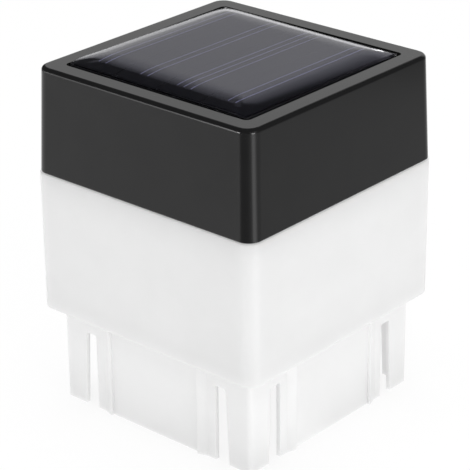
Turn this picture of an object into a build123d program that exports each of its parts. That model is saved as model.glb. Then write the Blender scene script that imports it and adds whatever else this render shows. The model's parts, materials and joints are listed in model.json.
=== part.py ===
from build123d import *
import math
import os

# Solar light for the top of a square hollow fence post.
# Millimetres, +Z up, origin at the middle of the square that the corner legs stand on.

# Cap, a drafted square shell
cap_width = 60.0  # outside, at the lower edge
cap_height = 23.35
cap_draft = 2.0  # degrees, narrowing upwards
cap_wall = 2.0
cap_corner_radius = 3.2
cap_edge_radius = 0.9
cap_foot_radius = 0.3
rim_width = 4.25  # level frame round the solar panel
top_plate_thickness = 1.7
recess_corner_radius = 1.2

# Solar panel, from its glue upwards
adhesive_thickness = 0.3
adhesive_width = 3.0
adhesive_inset = 0.8
panel_board_thickness = 1.0
panel_gap = 0.8  # between the panel and the wall of its recess
panel_corner_radius = 0.5
panel_proud = 0.35  # edge of the dome above the rim
cell_count = 4
cell_margin = 0.55
cell_gap = 0.3
cell_thickness = 0.25
ribbon_width = 0.25
ribbon_thickness = 0.08
ribbon_inset = 4.45  # first ribbon from the edge of its strip of the panel
ribbon_pitch = 1.9
link_ribbon_inset = 2.7  # single ribbon that links the two halves of the panel
ribbon_end_gap = 3.2
epoxy_cover = 0.12  # clear layer over the ribbons at the panel's edge
dome_rise = 1.3
dome_roll = 8.0  # width of the rounded border of the dome

# Diffuser with the skirt that plugs into the post
diffuser_ledge = 0.1  # diffuser stands proud of the cap
diffuser_height = 31.8
diffuser_wall = 2.2
diffuser_corner_radius = 3.0
diffuser_edge_radius = 0.4
shoulder_width = 3.5  # covers the wall of the post
shoulder_thickness = 2.2
skirt_height = 22.25
skirt_wall = 1.0
skirt_corner_radius = 0.9
leg_width = 6.6  # at the top of the slots
slot_width = 2.9
slot_flare = 0.8  # slots open out downwards on the side of the leg
slot_height = 17.65
slot_corner_radius = 0.5
rib_edge_gap = 2.2
rib_width = 2.35
rib_height = 0.8

# Base plate that closes the cap, with the collar that plugs into the diffuser
plate_thickness = 2.0
plate_clearance = 0.15
collar_depth = 5.0
collar_wall = 1.6
collar_clearance = 0.25
collar_lead_in = 0.6
collar_rib_width = 1.2
collar_rib_height = 0.15
collar_rib_spread = 30.0

# Screws that hold the base plate to the bosses of the cap
screw_diameter = 2.3
screw_length = 9.0
screw_head_diameter = 4.5
screw_head_height = 1.6
screw_recess_diameter = 2.0
screw_recess_depth = 0.8
screw_clearance = 0.25
thread_clearance = 0.05
screw_head_gap = 1.1  # from the head to the collar
boss_diameter = 6.4
boss_rib_thickness = 1.0
boss_rib_lift = 2.0  # lower ends of the ribs above the base plate
pilot_relief = 1.0

# Circuit board on two standoffs, under one half of the cap
split_gap = 4.0  # between the circuit board and the battery
board_length = 36.0
board_width = 16.0
board_thickness = 1.2
board_corner_radius = 1.0
standoff_height = 4.0
standoff_diameter = 4.6
standoff_end_gap = 2.9  # from the middle of a standoff to the end of the board
board_screw_diameter = 2.0
board_screw_length = 4.2
board_screw_head_diameter = 3.6
board_screw_head_height = 1.3

# Light-emitting diodes, hanging from the board through the base plate
led_spread = 19.0
led_diameter = 5.0
led_height = 8.6
led_flange_diameter = 5.8
led_flange_height = 1.0
led_hole_clearance = 0.4
led_leg_size = 0.5
led_leg_pitch = 2.54
led_leg_stub = 1.2
led_leg_clearance = 0.2

# Slide switch between the board and the base plate
switch_length = 9.4
switch_width = 4.8
switch_wall = 0.7
switch_floor = 1.0
switch_travel = 2.0
switch_clearance = 0.2
carriage_length = 4.4
carriage_height = 1.8
knob_length = 1.8
knob_width = 1.6
knob_reach = 1.5  # below the base plate
knob_rounding = 0.3

# Driver chip and inductor on the upper face of the board
chip_length = 5.0
chip_width = 4.0
chip_height = 1.6
chip_leg_count = 4
chip_leg_pitch = 1.27
chip_leg_width = 0.45
chip_leg_length = 1.6
chip_leg_thickness = 0.4
inductor_diameter = 3.6
inductor_length = 9.5
inductor_rounding = 0.8
inductor_lead_diameter = 0.6
inductor_lead_reach = 1.6
inductor_lead_bend = 1.0
part_edge_gap = 1.2  # from a part on the board to the board's edge

# Battery, a two-thirds AAA cell lying on saddles, and its contacts
battery_diameter = 10.5
battery_length = 30.0
battery_button_diameter = 3.8
battery_button_height = 1.0
battery_groove_depth = 0.4
battery_groove_width = 1.0
battery_groove_place = 2.6  # from the shoulder of the can
battery_clearance = 0.1
saddle_floor = 0.8
saddle_thickness = 1.6
saddle_spread = 18.0
saddle_wall = 1.2
contact_thickness = 0.4
contact_width = 8.4
contact_height = 9.6
contact_clearance = 0.05
contact_dimple_height = 0.9
contact_dimple_diameter = 3.6
contact_bow_depth = 1.9
contact_bow_width = 5.0
contact_bow_span = 6.0
post_length = 2.6
post_width = 2.4
post_height = 6.6

# Inner corners of the mouldings
tightest_corner = 0.5

# Wires
wire_diameter = 1.2
wire_bend_radius = 1.5
wire_spread = 1.8  # between the two panel leads
wire_hole_length = 5.2
wire_hole_width = 2.6
panel_pad_spread = 8.0
battery_wire_stand_off = 2.6

# Levels, from the feet upwards
shoulder_z = skirt_height
seam_z = shoulder_z + diffuser_height
collar_low_z = seam_z - collar_depth
plate_top_z = seam_z + plate_thickness
board_low_z = plate_top_z + standoff_height
board_top_z = board_low_z + board_thickness
epoxy_edge = cell_thickness + ribbon_thickness + epoxy_cover
panel_edge_height = adhesive_thickness + panel_board_thickness + epoxy_edge
cap_top_z = seam_z + cap_height
recess_floor_z = cap_top_z + panel_proud - panel_edge_height
ceiling_z = recess_floor_z - top_plate_thickness
panel_board_low_z = recess_floor_z + adhesive_thickness
cell_low_z = panel_board_low_z + panel_board_thickness
battery_z = plate_top_z + saddle_floor + battery_diameter / 2

# Widths, from the outside inwards
cap_slope = math.tan(math.radians(cap_draft))
cap_inner_radius = max(cap_corner_radius - cap_wall, tightest_corner)
cap_top_width = cap_width - 2 * cap_height * cap_slope
cap_mouth_width = cap_width - 2 * cap_wall
ceiling_width = cap_mouth_width - 2 * (ceiling_z - seam_z) * cap_slope
recess_width = cap_top_width - 2 * rim_width
panel_width = recess_width - 2 * panel_gap
diffuser_width = cap_width + 2 * diffuser_ledge
diffuser_bore = diffuser_width - 2 * diffuser_wall
diffuser_bore_radius = max(diffuser_corner_radius - diffuser_wall, tightest_corner)
skirt_width = diffuser_width - 2 * shoulder_width
skirt_bore = skirt_width - 2 * skirt_wall
skirt_bore_radius = max(skirt_corner_radius - skirt_wall, tightest_corner)
tongue_width = skirt_width - 2 * leg_width - 2 * slot_width
plate_width = cap_mouth_width - 2 * plate_thickness * cap_slope - 2 * plate_clearance
collar_width = diffuser_bore - 2 * collar_clearance
collar_bore = collar_width - 2 * collar_wall

# Places in plan
boss_place = collar_bore / 2 - screw_head_gap - screw_head_diameter / 2
board_y = -(split_gap + board_width) / 2
battery_y = (split_gap + battery_diameter) / 2
standoff_place = board_length / 2 - standoff_end_gap
led_y = board_y
wire_hole_y = board_y + board_width / 2 - wire_hole_width
contact_plus_x = battery_length / 2 + contact_dimple_height + contact_clearance
contact_minus_x = -battery_length / 2 - contact_bow_depth - contact_clearance
cell_pitch = (panel_width - 2 * cell_margin) / cell_count
cell_width = cell_pitch - cell_gap
cell_length = panel_width - 2 * cell_margin

QUARTER_TURNS = [0, 90, 180, 270]
SIDES = [-1, 1]
CORNERS = [(x, y) for x in SIDES for y in SIDES]
ON_FLOOR = (Align.CENTER, Align.CENTER, Align.MIN)
FROM_CEILING = (Align.CENTER, Align.CENTER, Align.MAX)


def square_prism(width, radius, low, high):
    """Upright square prism with rounded corners between two levels."""
    return Pos(0, 0, low) * extrude(RectangleRounded(width, width, radius), amount=high - low)


def drafted_prism(low_width, high_width, radius, low, high):
    """Square prism with rounded corners whose width changes with height."""
    low_face = Pos(0, 0, low) * RectangleRounded(low_width, low_width, radius)
    high_face = Pos(0, 0, high) * RectangleRounded(high_width, high_width, radius)
    return loft([low_face, high_face], ruled=True)


def post(x, y, low, high, diameter):
    """Upright cylinder between two levels."""
    return Pos(x, y, low) * Cylinder(diameter / 2, high - low, align=ON_FLOOR)


def block(x, y, low, high, length, width):
    """Upright box between two levels."""
    return Pos(x, y, low) * Box(length, width, high - low, align=ON_FLOOR)


def lying_rod(x, y, z, length, diameter):
    """Cylinder along X."""
    return Pos(x, y, z) * Rot(0, 90, 0) * Cylinder(diameter / 2, length)


def pan_screw(x, y, head_z, up, diameter, length, head_diameter, head_height):
    """Pan-head screw whose head bears on level head_z and whose shank points up (1) or down (-1)."""
    head = Cylinder(head_diameter / 2, head_height, align=FROM_CEILING)
    head_rounding = head_height / 3
    head = fillet(head.edges().group_by(Axis.Z)[0], head_rounding)
    recess = Pos(0, 0, -head_height) * Cylinder(
        screw_recess_diameter / 2, screw_recess_depth, align=ON_FLOOR
    )
    shank = Cylinder(diameter / 2, length, align=ON_FLOOR)
    tip_chamfer = diameter / 4
    shank = chamfer(shank.edges().group_by(Axis.Z)[-1], tip_chamfer)
    flip = Rot(0, 0, 0) if up > 0 else Rot(180, 0, 0)
    return Pos(x, y, head_z) * flip * (head - recess + shank)


def wire(points):
    """Insulated wire along straight runs with rounded bends."""
    path = FilletPolyline(*points, radius=wire_bend_radius)
    section = Plane(origin=path @ 0, z_dir=path % 0) * Circle(wire_diameter / 2)
    return sweep(section, path=path)


def make_cap_shell():
    """Black cap: drafted walls, panel recess on top, bosses with ribs inside."""
    shell = drafted_prism(cap_width, cap_top_width, cap_corner_radius, seam_z, cap_top_z)
    shell = fillet(shell.faces().sort_by(Axis.Z)[-1].edges(), cap_edge_radius)
    shell = fillet(shell.faces().sort_by(Axis.Z)[0].edges(), cap_foot_radius)
    shell -= drafted_prism(cap_mouth_width, ceiling_width, cap_inner_radius, seam_z, ceiling_z)
    shell -= square_prism(recess_width, recess_corner_radius, recess_floor_z, cap_top_z)
    boss_top_z = ceiling_z + top_plate_thickness / 2
    rib_low_z = plate_top_z + boss_rib_lift
    rib_length = ceiling_width / 2 + cap_wall / 2 - boss_place
    pilot_top_z = seam_z + screw_length + pilot_relief
    for x_side, y_side in CORNERS:
        x = x_side * boss_place
        y = y_side * boss_place
        shell += post(x, y, plate_top_z, boss_top_z, boss_diameter)
        x_rib = x + x_side * rib_length / 2
        shell += block(x_rib, y, rib_low_z, boss_top_z, rib_length, boss_rib_thickness)
        y_rib = y + y_side * rib_length / 2
        shell += block(x, y_rib, rib_low_z, boss_top_z, boss_rib_thickness, rib_length)
        shell -= post(x, y, plate_top_z, pilot_top_z, screw_diameter + 2 * thread_clearance)
    hole = SlotOverall(wire_hole_length, wire_hole_width)
    shell -= Pos(0, wire_hole_y, ceiling_z) * extrude(hole, amount=top_plate_thickness)
    return shell


def make_diffuser():
    """Milky moulding: square light box, shoulder, and a skirt of corner legs and spring tongues."""
    body = square_prism(diffuser_width, diffuser_corner_radius, shoulder_z, seam_z)
    body = fillet(body.faces().sort_by(Axis.Z)[-1].edges(), diffuser_edge_radius)
    body = fillet(body.faces().sort_by(Axis.Z)[0].edges(), diffuser_edge_radius)
    body += square_prism(skirt_width, skirt_corner_radius, 0, shoulder_z)
    body -= square_prism(diffuser_bore, diffuser_bore_radius, shoulder_z + shoulder_thickness, seam_z)
    body -= square_prism(skirt_bore, skirt_bore_radius, 0, shoulder_z + shoulder_thickness)
    for turn in QUARTER_TURNS:
        for side in SIDES:
            body += Rot(0, 0, turn) * grip_rib(side)
    for turn in QUARTER_TURNS:
        for side in SIDES:
            body -= Rot(0, 0, turn) * skirt_slot(side)
    return body


def grip_rib(side):
    """Upright wedge on a spring tongue, with its steep flank towards the tongue's middle."""
    face_y = -skirt_width / 2
    root_y = face_y + skirt_wall / 2
    foot_x = tongue_width / 2 - rib_edge_gap
    crest_x = foot_x - rib_width
    outline = Polyline(
        (side * foot_x, root_y),
        (side * foot_x, face_y),
        (side * crest_x, face_y - rib_height),
        (side * crest_x, root_y),
        close=True,
    )
    return extrude(make_face(outline), amount=skirt_height, dir=(0, 0, 1))


def skirt_slot(side):
    """Cutter for the slot between a spring tongue and a corner leg, open at the bottom."""
    inner_x = tongue_width / 2
    outer_x = inner_x + slot_width
    outline = Polyline(
        (side * inner_x, 0),
        (side * inner_x, slot_height),
        (side * outer_x, slot_height),
        (side * (outer_x + slot_flare), 0),
        close=True,
    )
    face = make_face(outline)
    face = fillet(face.vertices().group_by(Axis.Y)[-1], slot_corner_radius)
    cutter_depth = skirt_wall + rib_height
    wall_y = -skirt_width / 2 + skirt_wall / 2
    return Pos(0, wall_y, 0) * extrude(Plane.XZ * face, amount=cutter_depth, both=True)


def make_base_plate():
    """White plate under the cap: collar below, battery cradle and board standoffs above."""
    plate = square_prism(plate_width, cap_inner_radius, seam_z, plate_top_z)
    collar = square_prism(collar_width, cap_inner_radius, collar_low_z, seam_z)
    collar = chamfer(collar.faces().sort_by(Axis.Z)[0].edges(), collar_lead_in)
    collar -= square_prism(collar_bore, cap_inner_radius, collar_low_z, seam_z)
    plate += collar
    rib_low_z = collar_low_z + 2 * collar_lead_in
    for turn in QUARTER_TURNS:
        for side in SIDES:
            rib_x = side * collar_rib_spread / 2
            rib = block(rib_x, -collar_width / 2, rib_low_z, seam_z, collar_rib_width, 2 * collar_rib_height)
            plate += Rot(0, 0, turn) * rib
    plate += make_cradle()
    for side in SIDES:
        plate += post(side * standoff_place, board_y, plate_top_z, board_low_z, standoff_diameter)
    for x_side, y_side in CORNERS:
        hole_diameter = screw_diameter + 2 * screw_clearance
        plate -= post(x_side * boss_place, y_side * boss_place, seam_z, plate_top_z, hole_diameter)
    for side in SIDES:
        pilot_diameter = board_screw_diameter + 2 * thread_clearance
        plate -= post(side * standoff_place, board_y, plate_top_z, board_low_z, pilot_diameter)
        led_hole = led_diameter + 2 * led_hole_clearance
        plate -= post(side * led_spread / 2, led_y, seam_z, plate_top_z, led_hole)
    window_length = knob_length + switch_travel + 2 * switch_clearance
    window_width = knob_width + 2 * switch_clearance
    plate -= block(0, board_y, seam_z, plate_top_z, window_length, window_width)
    return plate


def make_cradle():
    """Battery saddles and the grooved posts that hold the contacts."""
    saddle_width = battery_diameter + 2 * saddle_wall
    cradle = Part()
    for side in SIDES:
        saddle_x = side * saddle_spread / 2
        cradle += block(saddle_x, battery_y, plate_top_z, battery_z, saddle_thickness, saddle_width)
    bed_diameter = battery_diameter + 2 * battery_clearance
    cradle -= lying_rod(0, battery_y, battery_z, battery_length, bed_diameter)
    post_top_z = plate_top_z + post_height
    groove_length = contact_thickness + 2 * contact_clearance
    groove_width = contact_width + 2 * contact_clearance
    for x in contact_middles():
        for side in SIDES:
            post_y = battery_y + side * contact_width / 2
            cradle += block(x, post_y, plate_top_z, post_top_z, post_length, post_width)
        cradle -= block(x, battery_y, plate_top_z, post_top_z, groove_length, groove_width)
    return cradle


def contact_middles():
    """Middle planes of the two contact plates, along X."""
    return [contact_plus_x + contact_thickness / 2, contact_minus_x - contact_thickness / 2]


def make_contact_plus():
    """Flat contact with a pressed dimple that meets the battery's button."""
    plate_x = contact_middles()[0]
    contact_top_z = plate_top_z + contact_height
    plate = block(plate_x, battery_y, plate_top_z, contact_top_z, contact_thickness, contact_width)
    root_radius = contact_dimple_diameter / 2
    tip_radius = root_radius / 2
    dimple = Cone(root_radius, tip_radius, contact_dimple_height, align=ON_FLOOR)
    return plate + Pos(contact_plus_x, battery_y, battery_z) * Rot(0, -90, 0) * dimple


def make_contact_minus():
    """Flat contact with a bowed leaf spring that meets the battery's can."""
    plate_x = contact_middles()[1]
    contact_top_z = plate_top_z + contact_height
    plate = block(plate_x, battery_y, plate_top_z, contact_top_z, contact_thickness, contact_width)
    half_span = contact_bow_span / 2
    crest_x = contact_minus_x + contact_bow_depth
    inner_span = half_span - contact_thickness
    inner_crest_x = crest_x - contact_thickness
    outer_arc = ThreePointArc((plate_x, -half_span), (crest_x, 0), (plate_x, half_span))
    upper_end = Line((plate_x, half_span), (plate_x, inner_span))
    inner_arc = ThreePointArc((plate_x, inner_span), (inner_crest_x, 0), (plate_x, -inner_span))
    lower_end = Line((plate_x, -inner_span), (plate_x, -half_span))
    bow = make_face(outer_arc + upper_end + inner_arc + lower_end)
    leaf = extrude(Plane.XZ * bow, amount=contact_bow_width / 2, both=True)
    return plate + Pos(0, battery_y, battery_z) * leaf


def make_battery():
    """Cell with a crimp groove and a button at the +X end."""
    can_length = battery_length - battery_button_height
    can_x = -battery_length / 2 + can_length / 2
    can = lying_rod(can_x, battery_y, battery_z, can_length, battery_diameter)
    groove_x = battery_length / 2 - battery_button_height - battery_groove_place
    groove_bottom = battery_diameter - 2 * battery_groove_depth
    groove = lying_rod(groove_x, battery_y, battery_z, battery_groove_width, battery_diameter)
    can -= groove
    can += lying_rod(groove_x, battery_y, battery_z, battery_groove_width, groove_bottom)
    button_x = battery_length / 2 - battery_button_height / 2
    return can + lying_rod(button_x, battery_y, battery_z, battery_button_height, battery_button_diameter)


def make_circuit_board():
    """Board with holes for its two screws and the legs of the diodes."""
    outline = RectangleRounded(board_length, board_width, board_corner_radius)
    board = Pos(0, board_y, board_low_z) * extrude(outline, amount=board_thickness)
    leg_hole = math.hypot(led_leg_size, led_leg_size) + 2 * led_leg_clearance
    for side in SIDES:
        screw_hole = board_screw_diameter + 2 * screw_clearance
        board -= post(side * standoff_place, board_y, board_low_z, board_top_z, screw_hole)
        for x in led_leg_places(side):
            board -= post(x, led_y, board_low_z, board_top_z, leg_hole)
    return board


def led_leg_places(side):
    """X places of the two legs of one diode."""
    middle = side * led_spread / 2
    return [middle - led_leg_pitch / 2, middle + led_leg_pitch / 2]


def make_led_lens(side):
    """Round diode body with a flange on the board and a domed tip below the base plate."""
    flange = led_flange_diameter / 2
    radius = led_diameter / 2
    barrel_end = radius - led_height
    outline = Polyline(
        (0, -led_height),
        (0, 0),
        (flange, 0),
        (flange, -led_flange_height),
        (radius, -led_flange_height),
        (radius, barrel_end),
    )
    tip = TangentArc((radius, barrel_end), (0, -led_height), tangent=(0, -1))
    lens = revolve(Plane.XZ * make_face(outline + tip), Axis.Z)
    return Pos(side * led_spread / 2, led_y, board_low_z) * lens


def make_led_legs(side):
    """Two square legs that pass through the board."""
    legs = Part()
    for x in led_leg_places(side):
        legs += block(x, led_y, board_low_z, board_top_z + led_leg_stub, led_leg_size, led_leg_size)
    return legs


def make_switch_housing():
    """Switch frame with a pocket for the carriage, open downwards through a window."""
    housing = block(0, board_y, plate_top_z, board_low_z, switch_length, switch_width)
    pocket_low_z = plate_top_z + switch_floor
    pocket_length = carriage_length + switch_travel + 2 * switch_clearance
    pocket_width = switch_width - 2 * switch_wall
    pocket_high_z = pocket_low_z + carriage_height + 2 * switch_clearance
    housing -= block(0, board_y, pocket_low_z, pocket_high_z, pocket_length, pocket_width)
    window_length = knob_length + switch_travel + 2 * switch_clearance
    window_width = knob_width + 2 * switch_clearance
    housing -= block(0, board_y, plate_top_z, pocket_low_z, window_length, window_width)
    return housing


def make_switch_slider():
    """Carriage and knob, at the -X end of their travel."""
    x = -switch_travel / 2
    carriage_low_z = plate_top_z + switch_floor + switch_clearance
    carriage_width = switch_width - 2 * switch_wall - 2 * switch_clearance
    carriage_high_z = carriage_low_z + carriage_height
    slider = block(x, board_y, carriage_low_z, carriage_high_z, carriage_length, carriage_width)
    knob = block(x, board_y, seam_z - knob_reach, carriage_low_z, knob_length, knob_width)
    knob = fillet(knob.edges().group_by(Axis.Z)[0], knob_rounding)
    return slider + knob


def make_driver_chip():
    """Flat four-legged package near one end of the board."""
    x = -(led_spread / 2 + led_flange_diameter / 2) / 2
    y = board_y - board_width / 2 + part_edge_gap + chip_leg_length + chip_width / 2
    chip = block(x, y, board_top_z, board_top_z + chip_height, chip_length, chip_width)
    chip = chamfer(chip.edges().group_by(Axis.Z)[-1], chip_leg_thickness)
    leg_y = y - chip_width / 2 - chip_leg_length / 2
    for index in range(chip_leg_count):
        leg_x = x + (index - (chip_leg_count - 1) / 2) * chip_leg_pitch
        leg_top_z = board_top_z + chip_leg_thickness
        chip += block(leg_x, leg_y, board_top_z, leg_top_z, chip_leg_width, chip_leg_length)
    return chip


def make_inductor():
    """Axial inductor lying on the board, with both leads bent down to it."""
    x = (led_spread / 2 + led_flange_diameter / 2) / 2
    y = board_y - board_width / 2 + part_edge_gap + inductor_diameter / 2
    z = board_top_z + inductor_diameter / 2
    body = Cylinder(inductor_diameter / 2, inductor_length)
    body = fillet(body.edges(), inductor_rounding)
    body = Pos(x, y, z) * Rot(0, 90, 0) * body
    for side in SIDES:
        root_x = x + side * (inductor_length / 2 - inductor_rounding)
        bend_x = x + side * (inductor_length / 2 + inductor_lead_reach)
        corners = [(root_x, y, z), (bend_x, y, z), (bend_x, y, board_top_z)]
        path = FilletPolyline(*corners, radius=inductor_lead_bend)
        section = Plane(origin=path @ 0, z_dir=path % 0) * Circle(inductor_lead_diameter / 2)
        body += sweep(section, path=path)
    return body


def make_panel_adhesive():
    """Frame of double-sided tape under the edge of the panel."""
    outer = panel_width - 2 * adhesive_inset
    inner = outer - 2 * adhesive_width
    frame = square_prism(outer, panel_corner_radius, recess_floor_z, panel_board_low_z)
    return frame - square_prism(inner, panel_corner_radius, recess_floor_z, panel_board_low_z)


def make_panel_board():
    """Backing board of the solar panel."""
    return square_prism(panel_width, panel_corner_radius, panel_board_low_z, cell_low_z)


def cell_left(index):
    """X of the left edge of a cell's strip of the panel."""
    return (index - cell_count / 2) * cell_pitch


def make_cell(index):
    """One long strip of silicon."""
    x = cell_left(index) + cell_pitch / 2
    return block(x, 0, cell_low_z, cell_low_z + cell_thickness, cell_width, cell_length)


def make_cell_ribbons():
    """Pairs of thin tinned ribbons along the cells, and the single one that links the two halves."""
    low_z = cell_low_z + cell_thickness
    high_z = low_z + ribbon_thickness
    length = cell_length - 2 * ribbon_end_gap
    link_x = cell_left(cell_count // 2) + link_ribbon_inset
    ribbons = block(link_x, 0, low_z, high_z, ribbon_width, length)
    for index in range(cell_count):
        for place in (ribbon_inset, ribbon_inset + ribbon_pitch):
            ribbons += block(cell_left(index) + place, 0, low_z, high_z, ribbon_width, length)
    return ribbons


def make_panel_epoxy(buried):
    """Clear domed casting over the cells, with a rounded border on all four sides."""
    level = panel_width / 2 - dome_roll
    end = panel_width / 2 + panel_gap
    crown_z = cell_low_z + epoxy_edge + dome_rise
    roll_radius = (dome_roll**2 + dome_rise**2) / (2 * dome_rise)
    end_z = crown_z - roll_radius + math.sqrt(roll_radius**2 - (end - level) ** 2)
    top = Line((-level, crown_z), (level, crown_z))
    right = TangentArc((level, crown_z), (end, end_z), tangent=(1, 0))
    left = TangentArc((-level, crown_z), (-end, end_z), tangent=(-1, 0))
    low = Polyline((end, end_z), (end, recess_floor_z), (-end, recess_floor_z), (-end, end_z))
    ridge = extrude(Plane.XZ * make_face(top + right + low + left), amount=end, both=True)
    casting = square_prism(panel_width, panel_corner_radius, cell_low_z, crown_z + dome_rise)
    casting &= ridge
    casting &= Rot(0, 0, 90) * ridge
    for piece in buried:
        casting -= piece
    return casting


def make_panel_lead(side):
    """Wire from the underside of the solar panel through the top plate to the circuit board."""
    hole_x = side * wire_spread / 2
    pad_x = side * panel_pad_spread / 2
    bend_high_z = ceiling_z - wire_diameter
    bend_low_z = board_top_z + 2 * wire_diameter
    return wire(
        [
            (hole_x, wire_hole_y, panel_board_low_z),
            (hole_x, wire_hole_y, bend_high_z),
            (pad_x, wire_hole_y, bend_low_z),
            (pad_x, wire_hole_y, board_top_z),
        ]
    )


def make_battery_lead(plate_face_x):
    """Wire from the outer face of a contact round the end of the board to its upper face."""
    side = math.copysign(1, plate_face_x)
    tab_y = battery_y - contact_width / 2 + post_width / 2 + wire_diameter
    tab_z = plate_top_z + post_height + wire_diameter
    out_x = plate_face_x + side * battery_wire_stand_off
    pad_x = side * (standoff_place - board_screw_head_diameter / 2 - 2 * wire_diameter)
    pad_y = board_y + board_width / 2 - wire_diameter
    return wire(
        [
            (plate_face_x, tab_y, tab_z),
            (out_x, tab_y, tab_z),
            (out_x, pad_y, tab_z),
            (pad_x, pad_y, tab_z),
            (pad_x, pad_y, board_top_z),
        ]
    )


def make_base_screws():
    """Four screws up through the base plate into the bosses of the cap."""
    screws = Part()
    for x_side, y_side in CORNERS:
        screws += pan_screw(
            x_side * boss_place,
            y_side * boss_place,
            seam_z,
            1,
            screw_diameter,
            screw_length,
            screw_head_diameter,
            screw_head_height,
        )
    return screws


def make_board_screws():
    """Two screws down through the circuit board into its standoffs."""
    screws = Part()
    for side in SIDES:
        screws += pan_screw(
            side * standoff_place,
            board_y,
            board_top_z,
            -1,
            board_screw_diameter,
            board_screw_length,
            board_screw_head_diameter,
            board_screw_head_height,
        )
    return screws


cells = [make_cell(index) for index in range(cell_count)]
cell_ribbons = make_cell_ribbons()
contact_plus_face, contact_minus_face = contact_middles()

nodes = {
    "cap_shell": make_cap_shell(),
    "panel_adhesive": make_panel_adhesive(),
    "panel_board": make_panel_board(),
    "cell_ribbons": cell_ribbons,
    "panel_epoxy": make_panel_epoxy(cells + [cell_ribbons]),
    "panel_lead_red": make_panel_lead(1),
    "panel_lead_black": make_panel_lead(-1),
    "base_plate": make_base_plate(),
    "base_screws": make_base_screws(),
    "circuit_board": make_circuit_board(),
    "board_screws": make_board_screws(),
    "led_left": make_led_lens(-1),
    "led_right": make_led_lens(1),
    "led_left_legs": make_led_legs(-1),
    "led_right_legs": make_led_legs(1),
    "switch_housing": make_switch_housing(),
    "switch_slider": make_switch_slider(),
    "driver_chip": make_driver_chip(),
    "inductor": make_inductor(),
    "battery_cell": make_battery(),
    "contact_plus": make_contact_plus(),
    "contact_minus": make_contact_minus(),
    "battery_lead_red": make_battery_lead(contact_plus_face + contact_thickness / 2),
    "battery_lead_black": make_battery_lead(contact_minus_face - contact_thickness / 2),
    "diffuser": make_diffuser(),
}
for index, cell in enumerate(cells):
    nodes[f"solar_cell_{index + 1}"] = cell

os.makedirs("parts", exist_ok=True)
for name, shape in nodes.items():
    export_step(shape, f"parts/{name}.step")
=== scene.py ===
import json
import math

import bmesh
import bpy
from mathutils import Matrix, Vector


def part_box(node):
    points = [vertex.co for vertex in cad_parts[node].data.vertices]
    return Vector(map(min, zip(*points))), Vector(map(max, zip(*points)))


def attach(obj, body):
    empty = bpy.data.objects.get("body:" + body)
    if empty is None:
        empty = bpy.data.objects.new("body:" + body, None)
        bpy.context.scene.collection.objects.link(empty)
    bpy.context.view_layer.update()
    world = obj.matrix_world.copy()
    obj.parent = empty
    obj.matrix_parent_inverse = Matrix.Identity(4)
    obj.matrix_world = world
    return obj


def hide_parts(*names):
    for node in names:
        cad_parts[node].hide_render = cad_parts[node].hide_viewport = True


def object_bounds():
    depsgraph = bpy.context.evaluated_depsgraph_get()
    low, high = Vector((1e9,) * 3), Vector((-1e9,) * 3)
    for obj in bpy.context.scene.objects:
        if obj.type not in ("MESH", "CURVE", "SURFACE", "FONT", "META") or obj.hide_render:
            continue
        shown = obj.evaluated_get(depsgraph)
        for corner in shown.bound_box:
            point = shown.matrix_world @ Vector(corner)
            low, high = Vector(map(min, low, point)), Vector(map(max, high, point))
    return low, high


# Looks of the solar fence post light: its camera, studio and the finish of every piece.
# Metres, +Z up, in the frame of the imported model.

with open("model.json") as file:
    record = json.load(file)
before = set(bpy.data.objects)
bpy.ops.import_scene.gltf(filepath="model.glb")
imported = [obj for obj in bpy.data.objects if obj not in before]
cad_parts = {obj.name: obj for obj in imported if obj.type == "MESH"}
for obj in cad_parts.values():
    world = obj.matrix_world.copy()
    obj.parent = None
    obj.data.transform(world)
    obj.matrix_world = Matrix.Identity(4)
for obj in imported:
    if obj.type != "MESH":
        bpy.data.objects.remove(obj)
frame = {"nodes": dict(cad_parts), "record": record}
cad_low, cad_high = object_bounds()

MM = 0.001
WHITE = (1.0, 1.0, 1.0, 1.0)

# Camera, fitted to the edges of the object in the photograph
camera_azimuth = math.radians(41.32)
camera_elevation = math.radians(24.592)
camera_roll = math.radians(-0.597)
camera_place = Vector((0.26643, -0.3035, 0.22212))
camera_lens = 157.92

# Light that falls on the object
sky_fill = 0.8  # even light from all round
floor_radius = 4.0
floor_sides = 96
floor_colour = (0.98, 0.98, 0.98, 1.0)
floor_shade = 0.99  # how much darker its soft clouds are
floor_clouds = 40.0  # size of these clouds in millimetres
floor_glow = 0.85  # share of plain white that the floor shows beside its lit surface
floor_fill = 1.0  # the same share in the light that the floor throws back on the object
lamp_distance = 0.9
lamp_size = 0.5
top_lamp_power = 2.2
right_lamp_power = 0.9
right_lamp_azimuth = math.radians(80)
right_lamp_elevation = math.radians(20)

# What the gloss mirrors: strength of the white walls by height in degrees, with a sharp and with a soft
# upper edge
sharp_wall = [
    (0, 0.72), (26.8, 0.72), (29.1, 0.56), (31.3, 0.45), (33.2, 0.31), (35.5, 0.2), (36.2, 0.03),
    (90, 0.02),
]
soft_wall = [
    (0, 0.72), (18, 0.74), (24, 0.85), (28.6, 0.88), (31.6, 0.68), (34.2, 0.5), (35.4, 0.4), (36.4, 0.26),
    (37.4, 0.11), (38.5, 0.03), (90, 0.02),
]
soft_edge_end = 131  # bearing where the soft edge gives way to the sharp one
soft_edge_blend = 4  # half the width of that change
edge_lift = [  # rise of the sharp edge in degrees, by bearing, counted from lift_base
    (131, 2.0), (137, 3.0), (140, 3.8), (141.5, 2.8), (143, 2.0), (145.2, 0.7), (155, 0.0),
]
lift_base = 2.0

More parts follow.
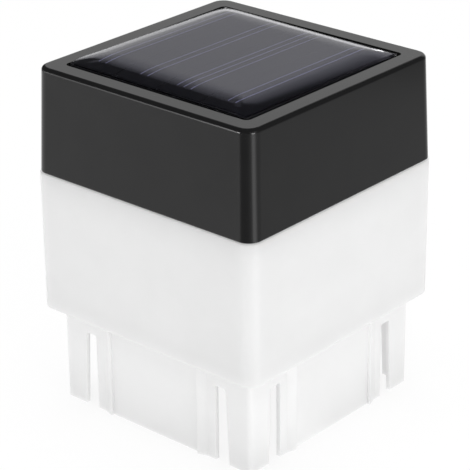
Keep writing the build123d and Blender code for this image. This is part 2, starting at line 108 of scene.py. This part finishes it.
# Strength of walls, near floor and horizon by bearing in degrees from +X towards +Y
wall_round = [
    (-180, 0.1), (-42, 0.1), (-22, 0.5), (-5, 0.8), (10, 0.8), (25, 0.1), (75, 0.1), (95, 1.0), (146, 1.0),
    (149.5, 0.1), (180, 0.1),
]
floor_round = [
    (-180, 1.0), (-150, 0.78), (-118, 0.74), (-109, 0.9), (-103, 0.9), (-93, 0.15), (-80, 0.05),
    (-56, 0.06), (-44, 0.2), (-30, 0.6), (-23, 2.2), (-12, 2.4), (-4, 1.5), (4, 0.6), (12, 0.4),
    (35, 0.42), (70, 0.42), (90, 1.0), (180, 1.0),
]
horizon_round = [
    (-180, 0.15), (-152, 0.8), (-147, 1.8), (-131, 2.2), (-127.6, 3.8), (-123.5, 7.0), (-118, 15.0),
    (-108, 15.0), (-104, 0.3), (-40, 0.2), (-26, 0.5), (-20, 14.0), (-6, 14.0), (2, 0.5), (20, 0.1),
    (75, 0.1), (95, 0.9), (105, 1.35), (132, 1.35), (136, 1.0), (141, 1.0), (143.5, 0.15), (180, 0.15),
]
horizon_top = 3.5  # height in degrees that the horizon reaches
horizon_blend = 1.0  # half the width of its soft upper edge
horizon_start = [  # metres from the object to where the floor gives way to the horizon, by bearing
    (-180, 0.36), (-124, 0.36), (-120, 0.9), (-105, 0.9), (-101, 0.36), (-30, 0.36), (-26, 0.9), (0, 0.9),
    (5, 0.36), (25, 0.255), (75, 0.255), (95, 0.36), (180, 0.36),
]
horizon_full = 1.1  # times that distance, where only the horizon is left
spark = (122.3, 123.5, 2.0)  # brighter bit of the horizon: first and last bearing, strength
spark_edge = 0.3
wall_patches = [  # first and last bearing, lower and upper height in degrees, strength
    (133, 138.5, 36.5, 41, 0.2),
    (138, 143, 43, 50, 0.06),
    (143.5, 180, 2, 30, -0.66),
]
patch_bearing_edge = 2.0
patch_height_edge = 1.0
darkest = 0.05  # least strength over the horizon

# Milky plastic by height in millimetres, first the thin skirt and then the light box: its tone, with
# painted shade in it (the skirt darker towards its feet, the box darker than the skirt and darkest just
# above its lower edge), and the depth in millimetres that light spreads to
diffuser_tone_and_painted_shade = [
    (0, 0.76), (16, 0.97), (21.5, 0.985), (22.3, 0.8), (24, 0.82), (27, 0.845), (34, 0.86), (60, 0.86),
]
diffuser_depth = [(0, 2.0), (21.5, 2.0), (24, 3.5), (60, 3.5)]

# Clear casting over the cells, in millimetres
dome_edge = 0.45  # height of its border over the board
dome_rise = 1.3  # from there to its level middle
dome_roll = 8.0  # width of its rolled border
dome_corner_radius = 0.5
corner_power = 3  # how closely the borders keep their own form where two of them meet
left_corner_power = 2
dome_rings = 36
corner_steps = 4
side_steps = 24
dome_turn = math.radians(-0.8)  # the casting lies a little askew in its recess
dome_shift = -0.2  # along X
dome_lift = 0.145  # rise of its -X edge
dome_lean = 0.0063  # fall along Y
dome_drop = 0.206  # how much lower all of it lies
dome_cover = 0.27  # least height over the board above the cells
cover_fall = 0.6  # fall of that height for each millimetre past the cells
cover_blend = 0.02  # softness of the change to that height
cell_margin = 0.55  # from the edge of the casting to the cells
dome_root = 0.02  # depth that it reaches into the board
dome_sharp_angle = math.radians(40)


def direction(azimuth, elevation):
    """Unit vector from the object towards a viewer at that azimuth and elevation."""
    level = math.cos(elevation)
    return Vector((math.sin(azimuth) * level, -math.cos(azimuth) * level, math.sin(elevation)))


class Tree:
    """A node tree with short calls to add nodes, join sockets and make common patterns."""

    def __init__(self, tree):
        self.nodes = tree.nodes
        self.links = tree.links

    def add(self, kind, inputs=None, **settings):
        """New node with its settings and with values or links for its inputs."""
        node = self.nodes.new(kind)
        for key, value in settings.items():
            setattr(node, key, value)
        for key, value in (inputs or {}).items():
            self.feed(node.inputs[key], value)
        return node

    def feed(self, socket, value):
        """Links another socket to an input, or sets the input to a constant."""
        if isinstance(value, bpy.types.NodeSocket):
            self.links.new(value, socket)
        else:
            socket.default_value = value

    def place(self):
        """The point being shaded, in metres, in the piece's own frame."""
        return self.add("ShaderNodeTexCoord").outputs["Object"]

    def noise(self, size, detail=2.0):
        """Cloudy value from 0 to 1 with features of that size in millimetres."""
        inputs = {"Vector": self.place(), "Scale": 1 / (size * MM), "Detail": detail}
        return self.add("ShaderNodeTexNoise", inputs).outputs["Fac"]

    def span(self, value, low, high, start=0.3, end=0.7):
        """Value between start and end, spread over low to high."""
        inputs = {"Value": value, "From Min": start, "From Max": end, "To Min": low, "To Max": high}
        return self.add("ShaderNodeMapRange", inputs).outputs["Result"]

    def vary(self, value, middle, share):
        """Number that follows a cloudy value, by a share of its middle up and down."""
        return self.span(value, middle * (1 - share), middle * (1 + share))

    def blend(self, factor, first, second):
        """Colour between two others."""
        node = self.add("ShaderNodeMix", data_type="RGBA")
        self.feed(node.inputs["Factor"], factor)
        self.feed(node.inputs["A"], first)
        self.feed(node.inputs["B"], second)
        return node.outputs["Result"]

    def blend_shaders(self, factor, first, second):
        """Shader between two others."""
        node = self.add("ShaderNodeMixShader", {"Fac": factor})
        self.feed(node.inputs[1], first)
        self.feed(node.inputs[2], second)
        return node.outputs["Shader"]

    def math(self, operation, first, second=0.0):
        """Result of one operation on one or two values."""
        node = self.add("ShaderNodeMath", operation=operation)
        self.feed(node.inputs[0], first)
        self.feed(node.inputs[1], second)
        return node.outputs["Value"]

    def degrees(self, angle):
        """Angle in degrees."""
        return self.math("MULTIPLY", angle, math.degrees(1))

    def bearing(self, x, y):
        """Bearing of a direction in degrees, from +X towards +Y."""
        return self.degrees(self.math("ARCTAN2", y, x))

    def ramp(self, value, stops):
        """Value read from straight runs between stops of place and strength."""
        low = stops[0][0]
        high = stops[-1][0]
        node = self.add("ShaderNodeValToRGB", {"Fac": self.span(value, 0.0, 1.0, start=low, end=high)})
        elements = node.color_ramp.elements
        while len(elements) < len(stops):
            elements.new(1.0)
        for element, (place, strength) in zip(elements, stops):
            element.position = (place - low) / (high - low)
            element.color = (strength, strength, strength, 1.0)
        return node.outputs["Color"]

    def within(self, value, low, high, edge):
        """One between two values, with soft edges, and nothing outside them."""
        rising = self.span(value, 0.0, 1.0, start=low - edge, end=low)
        falling = self.span(value, 1.0, 0.0, start=high, end=high + edge)
        return self.math("MULTIPLY", rising, falling)

    def bump(self, height, relief):
        """Normal of a surface whose height varies by that relief in millimetres."""
        inputs = {"Height": height, "Distance": relief * MM, "Strength": 1.0}
        return self.add("ShaderNodeBump", inputs).outputs["Normal"]


def shade(colour, factor):
    """Colour made darker or lighter."""
    return tuple(min(1.0, channel * factor) for channel in colour[:3]) + (1.0,)


def new_material(name):
    """Plain principled material, its tree and its shader."""
    material = bpy.data.materials.new(name)
    material.use_nodes = True
    return material, Tree(material.node_tree), material.node_tree.nodes["Principled BSDF"]


def surface(name, colour, roughness, patch=4.0, spread=0.12, grain=0.2, relief=0.003, metal=0.0):
    """Material whose colour and gloss vary in soft patches, with a fine grain; sizes in millimetres."""
    material, tree, shader = new_material(name)
    patches = tree.noise(patch)
    dark = shade(colour, 1 - spread)
    light = shade(colour, 1 + spread)
    tree.feed(shader.inputs["Base Color"], tree.blend(tree.span(patches, 0.0, 1.0), dark, light))
    tree.feed(shader.inputs["Roughness"], tree.vary(patches, roughness, share=0.15))
    tree.feed(shader.inputs["Normal"], tree.bump(tree.noise(grain), relief))
    shader.inputs["Metallic"].default_value = metal
    return material


def diffuser_material():
    """Milky moulded plastic that light spreads in; painted shade by height darkens the box and the skirt's
    feet.
    """
    material, tree, shader = new_material("diffuser_milky")
    patches = tree.noise(size=9.0)
    height = tree.add("ShaderNodeSeparateXYZ", {"Vector": tree.place()}).outputs["Z"]
    height = tree.math("DIVIDE", height, MM)
    # white plastic tone with painted shade by height: darker box, darkest just above its lower edge, darker
    # skirt feet
    tone = tree.ramp(height, diffuser_tone_and_painted_shade)
    depth = tree.ramp(height, diffuser_depth)
    clouds = tree.span(patches, low=-0.01, high=0.01)
    tree.feed(shader.inputs["Base Color"], tree.math("ADD", tone, clouds))
    tree.feed(shader.inputs["Roughness"], tree.span(patches, low=0.38, high=0.46))
    tree.feed(shader.inputs["Normal"], tree.bump(tree.noise(size=0.35), relief=0.002))
    shader.inputs["Subsurface Weight"].default_value = 1.0
    shader.inputs["Subsurface Radius"].default_value = (1.0, 1.0, 1.0)
    tree.feed(shader.inputs["Subsurface Scale"], tree.math("MULTIPLY", depth, MM))
    shader.inputs["IOR"].default_value = 1.45
    shader.inputs["Specular IOR Level"].default_value = 0.3
    return material


def cap_material():
    """Black satin moulded plastic."""
    material, tree, shader = new_material("cap_black")
    patches = tree.noise(size=7.0, detail=4.0)
    dark = (0.0075, 0.0075, 0.008, 1.0)
    light = (0.0115, 0.0115, 0.0115, 1.0)
    tree.feed(shader.inputs["Base Color"], tree.blend(patches, dark, light))
    tree.feed(shader.inputs["Roughness"], tree.span(patches, low=0.13, high=0.17))
    tree.feed(shader.inputs["Normal"], tree.bump(tree.noise(size=0.25, detail=3.0), relief=0.0012))
    shader.inputs["IOR"].default_value = 1.42
    return material


def clear_material(name, colour, roughness, clarity=1.0, gloss_tint=WHITE):
    """Clear or cloudy cast resin that also lets the lamps through to what lies under it."""
    material, tree, shader = new_material(name)
    shader.inputs["Specular Tint"].default_value = gloss_tint
    shader.inputs["Transmission Weight"].default_value = clarity
    shader.inputs["IOR"].default_value = 1.5
    shader.inputs["Base Color"].default_value = colour
    ripples = tree.noise(size=12.0)
    tree.feed(shader.inputs["Roughness"], tree.vary(ripples, roughness, share=0.2))
    to_lamp = tree.add("ShaderNodeLightPath").outputs["Is Shadow Ray"]
    see_through = tree.add("ShaderNodeBsdfTransparent", {"Color": colour}).outputs["BSDF"]
    resin = tree.blend_shaders(to_lamp, shader.outputs["BSDF"], see_through)
    tree.feed(tree.nodes["Material Output"].inputs["Surface"], resin)
    return material


def cell_material():
    """Blue-grey silicon with faint crystal grains."""
    material, tree, shader = new_material("silicon")
    grain_size = 3.5
    grains = tree.add("ShaderNodeTexVoronoi", {"Vector": tree.place(), "Scale": 1 / (grain_size * MM)})
    tone = tree.add("ShaderNodeSeparateColor", {"Color": grains.outputs["Color"]}).outputs["Red"]
    dark = (0.009, 0.009, 0.012, 1.0)
    light = (0.011, 0.011, 0.014, 1.0)
    tree.feed(shader.inputs["Base Color"], tree.blend(tone, dark, light))
    shader.inputs["Roughness"].default_value = 0.5
    shader.inputs["Specular IOR Level"].default_value = 0.1
    return material


# Finish of each material slot of the record
plain_finishes = {
    "tape_black": dict(colour=(0.02, 0.02, 0.02), roughness=0.9, grain=0.4, relief=0.02),
    "panel_board": dict(colour=(0.01, 0.01, 0.013), roughness=0.5),
    "ribbon_tin": dict(colour=(0.21, 0.21, 0.38), roughness=0.5, patch=1.5, spread=0.1, metal=0.3),
    "wire_red": dict(colour=(0.5, 0.02, 0.015), roughness=0.4),
    "wire_black": dict(colour=(0.015, 0.015, 0.016), roughness=0.4),
    "plate_white": dict(colour=(0.8, 0.8, 0.79), roughness=0.45, spread=0.03),
    "screw_steel": dict(colour=(0.56, 0.56, 0.57), roughness=0.32, patch=1.0, metal=1.0),
    "board_green": dict(colour=(0.015, 0.13, 0.04), roughness=0.35, patch=1.5, spread=0.25),
    "lead_tin": dict(colour=(0.6, 0.6, 0.61), roughness=0.3, patch=0.6, metal=1.0),
    "switch_steel": dict(colour=(0.55, 0.55, 0.55), roughness=0.35, patch=1.0, metal=1.0),
    "switch_black": dict(colour=(0.015, 0.015, 0.015), roughness=0.45),
    "chip_black": dict(colour=(0.018, 0.018, 0.018), roughness=0.55),
    "inductor_green": dict(colour=(0.16, 0.4, 0.2), roughness=0.3, patch=1.2),
    "battery": dict(colour=(0.04, 0.22, 0.1), roughness=0.25, patch=5.0),
    "contact_nickel": dict(colour=(0.66, 0.64, 0.6), roughness=0.25, patch=1.0, metal=1.0),
}
clear_finishes = {
    "epoxy_clear": dict(colour=WHITE, roughness=0.02, gloss_tint=(0.55, 0.55, 1.0, 1.0)),
    "led_lens": dict(colour=(0.97, 0.9, 0.7, 1.0), roughness=0.08, clarity=0.45),
}
slot_materials = {
    "cap_black": cap_material(),
    "silicon": cell_material(),
    "diffuser_milky": diffuser_material(),
}
for slot_name, finish in plain_finishes.items():
    slot_materials[slot_name] = surface(slot_name, **finish)
for slot_name, finish in clear_finishes.items():
    slot_materials[slot_name] = clear_material(slot_name, **finish)


def rounded_square(half, radius):
    """Points round a square with rounded corners."""
    points = []
    inner = half - radius
    for turn in range(4):
        angle = turn * math.pi / 2
        cosine = math.cos(angle)
        sine = math.sin(angle)
        for step in range(side_steps):
            along = -inner + 2 * inner * step / side_steps
            points.append((half * cosine - along * sine, half * sine + along * cosine))
        middle_x = inner * (cosine - sine)
        middle_y = inner * (sine + cosine)
        for step in range(corner_steps):
            bend = angle + math.pi / 2 * step / corner_steps
            points.append((middle_x + radius * math.cos(bend), middle_y + radius * math.sin(bend)))
    return points


def dome_fall(place, level):
    """Fall of the rolled border at a place across the casting, whose middle is flat out to level."""
    radius = (dome_roll**2 + dome_rise**2) / (2 * dome_rise)
    past = max(0.0, abs(place) - level)
    return radius - math.sqrt(radius**2 - past**2)


def dome_height(x, y, half):
    """Height of the casting over the board: as it lies in its recess, but never too low for the cells."""
    level = half - dome_roll
    power = left_corner_power if x < 0 and y < 0 else corner_power
    fall = (dome_fall(x, level) ** power + dome_fall(y, level) ** power) ** (1 / power)
    lie = dome_lift * ((half - x) / (2 * half)) ** 2 - dome_lean * y - dome_drop
    free = dome_edge + dome_rise + lie - fall
    past_cells = max(0.0, max(abs(x), abs(y)) - (half - cell_margin))
    least = dome_cover - cover_fall * past_cells
    return (free + least + math.hypot(free - least, cover_blend)) / 2


def make_dome():
    """Clear domed casting whose rolled borders run smoothly into each other at the corners."""
    low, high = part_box("panel_epoxy")
    half = (high.x - low.x) / 2 / MM
    board = low.z / MM
    shape = bmesh.new()
    rings = []
    for index in range(dome_rings + 1):
        reach = half - dome_roll + dome_roll * index / dome_rings
        outline = rounded_square(reach, dome_corner_radius)
        places = [Vector((x, y, board + dome_height(x, y, half))) for x, y in outline]
        rings.append([shape.verts.new(place * MM) for place in places])
    foot = low.z - dome_root * MM
    rings.append([shape.verts.new((rim.co.x, rim.co.y, foot)) for rim in rings[-1]])
    for inner, outer in zip(rings, rings[1:]):
        for index, corner in enumerate(inner):
            shape.faces.new((inner[index - 1], outer[index - 1], outer[index], corner))
    shape.faces.new(rings[0])
    shape.faces.new(reversed(rings[-1]))
    bmesh.ops.rotate(shape, verts=shape.verts, matrix=Matrix.Rotation(dome_turn, 3, "Z"))
    bmesh.ops.translate(shape, verts=shape.verts, vec=(dome_shift * MM, 0.0, 0.0))
    mesh = bpy.data.meshes.new("panel_dome")
    shape.to_mesh(mesh)
    shape.free()
    mesh.shade_smooth()
    mesh.set_sharp_from_angle(angle=dome_sharp_angle)
    mesh.materials.append(slot_materials["epoxy_clear"])
    dome = bpy.data.objects.new("panel_dome", mesh)
    bpy.context.scene.collection.objects.link(dome)
    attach(dome, "head")
    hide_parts("panel_epoxy")


def dress_nodes():
    """Gives every piece the material of its slot."""
    for subpart in frame["record"]["subparts"]:
        mesh = frame["nodes"][subpart["node"]].data
        mesh.materials.clear()
        mesh.materials.append(slot_materials[subpart["material_slot"]])


def make_camera():
    """Camera at the photograph's viewpoint."""
    back = direction(camera_azimuth, camera_elevation)
    right = Vector((math.cos(camera_azimuth), math.sin(camera_azimuth), 0))
    turn = Matrix((right, back.cross(right), back)).transposed().to_4x4()
    camera = bpy.data.objects.new("camera", bpy.data.cameras.new("camera"))
    camera.data.lens = camera_lens
    camera.matrix_world = Matrix.Translation(camera_place) @ turn @ Matrix.Rotation(camera_roll, 4, "Z")
    bpy.context.scene.collection.objects.link(camera)
    bpy.context.scene.camera = camera


def horizon(tree, bearing):
    """Strength of the light that comes in level from a bearing and shows in the gloss."""
    first, last, strength = spark
    extra = tree.math("MULTIPLY", tree.within(bearing, first, last, spark_edge), strength)
    return tree.math("ADD", tree.ramp(bearing, horizon_round), extra)


def floor_material():
    """White floor that shows the object's soft shadow, and nothing from below."""
    material, tree, shader = new_material("floor_white")
    # Only rays that meet the floor see its glow, since its strength differs by the kind of ray
    material.cycles.emission_sampling = "NONE"
    dark = shade(floor_colour, floor_shade)
    tree.feed(shader.inputs["Base Color"], tree.blend(tree.noise(floor_clouds), dark, floor_colour))
    shader.inputs["Roughness"].default_value = 0.9
    shader.inputs["Specular IOR Level"].default_value = 0.0
    path = tree.add("ShaderNodeLightPath")
    spot = tree.add("ShaderNodeSeparateXYZ", {"Vector": tree.place()})
    bearing = tree.bearing(spot.outputs["X"], spot.outputs["Y"])
    distance = tree.add("ShaderNodeVectorMath", {0: tree.place()}, operation="LENGTH").outputs["Value"]
    start = tree.ramp(bearing, horizon_start)
    far = tree.span(distance, 0.0, 1.0, start=start, end=tree.math("MULTIPLY", start, horizon_full))
    around = tree.blend(far, tree.ramp(bearing, floor_round), horizon(tree, bearing))
    mirrored = path.outputs["Is Glossy Ray"]
    seen = tree.math("MAXIMUM", path.outputs["Is Camera Ray"], path.outputs["Is Transmission Ray"])
    glow = tree.add("ShaderNodeEmission", {"Color": tree.blend(mirrored, WHITE, around), "Strength": 1.0})
    share = tree.span(tree.math("MAXIMUM", seen, mirrored), floor_fill, floor_glow, start=0.0, end=1.0)
    lit = tree.blend_shaders(share, shader.outputs["BSDF"], glow.outputs["Emission"])
    below = tree.add("ShaderNodeNewGeometry").outputs["Backfacing"]
    nothing = tree.add("ShaderNodeBsdfTransparent").outputs["BSDF"]
    open_below = tree.blend_shaders(below, lit, nothing)
    tree.feed(tree.nodes["Material Output"].inputs["Surface"], open_below)
    return material


def make_floor():
    """Wide level floor under the feet of the skirt."""
    bpy.ops.mesh.primitive_circle_add(vertices=floor_sides, radius=floor_radius, fill_type="NGON")
    floor = bpy.context.object
    floor.name = "floor"
    floor.location.z = cad_low.z
    floor.data.materials.append(floor_material())


def mirrored_room(tree, height, bearing):
    """Strength of what the gloss mirrors over the floor: walls with their patches, and the horizon."""
    edge_start = soft_edge_end - soft_edge_blend
    edge_end = soft_edge_end + soft_edge_blend
    sharp = tree.span(bearing, 0.0, 1.0, start=edge_start, end=edge_end)
    lift = tree.math("SUBTRACT", tree.ramp(bearing, edge_lift), lift_base)
    sharp_height = tree.math("SUBTRACT", height, lift)
    wall = tree.blend(sharp, tree.ramp(height, soft_wall), tree.ramp(sharp_height, sharp_wall))
    walls = tree.math("MULTIPLY", wall, tree.ramp(bearing, wall_round))
    for first, last, low, high, strength in wall_patches:
        across = tree.within(bearing, first, last, patch_bearing_edge)
        upwards = tree.within(height, low, high, patch_height_edge)
        patch = tree.math("MULTIPLY", across, upwards)
        walls = tree.math("ADD", walls, tree.math("MULTIPLY", patch, strength))
    walls = tree.math("MAXIMUM", walls, darkest)
    level = tree.span(height, 1.0, 0.0, start=horizon_top - horizon_blend, end=horizon_top + horizon_blend)
    return tree.blend(level, walls, horizon(tree, bearing))


def make_world():
    """Even light on the object, white behind it, and white walls under a dark ceiling in its gloss."""
    world = bpy.data.worlds.new("studio")
    world.use_nodes = True
    # Only rays that leave the scene see this light, since its strength differs by the kind of ray
    world.cycles.sampling_method = "NONE"
    bpy.context.scene.world = world
    tree = Tree(world.node_tree)
    way = tree.add("ShaderNodeSeparateXYZ", {"Vector": tree.add("ShaderNodeTexCoord").outputs["Generated"]})
    height = tree.degrees(tree.math("ARCSINE", way.outputs["Z"]))
    bearing = tree.bearing(way.outputs["X"], way.outputs["Y"])
    path = tree.add("ShaderNodeLightPath")
    gloss = tree.math("MAXIMUM", path.outputs["Is Glossy Ray"], path.outputs["Is Transmission Ray"])
    light = tree.blend(gloss, shade(WHITE, sky_fill), mirrored_room(tree, height, bearing))
    background = tree.nodes["Background"]
    tree.feed(background.inputs["Color"], tree.blend(path.outputs["Is Camera Ray"], light, WHITE))
    background.inputs["Strength"].default_value = 1.0


def add_lamp(name, way, power):
    """Soft square lamp that neither the camera nor the gloss shows, in a direction from the object."""
    middle = (cad_low + cad_high) / 2
    lamp = bpy.data.objects.new(name, bpy.data.lights.new(name, "AREA"))
    lamp.data.size = lamp_size
    lamp.data.energy = power
    lamp.location = middle + way * lamp_distance
    lamp.rotation_euler = (-way).to_track_quat("-Z", "Y").to_euler()
    lamp.visible_camera = False
    lamp.visible_glossy = False
    bpy.context.scene.collection.objects.link(lamp)


def make_lamps():
    """Soft lamps above and at the right."""
    add_lamp("lamp_top", Vector((0, 0, 1)), top_lamp_power)
    add_lamp("lamp_right", direction(right_lamp_azimuth, right_lamp_elevation), right_lamp_power)


dress_nodes()
make_dome()
make_camera()
make_floor()
make_world()
make_lamps()
bpy.context.scene.view_settings.view_transform = "Standard"
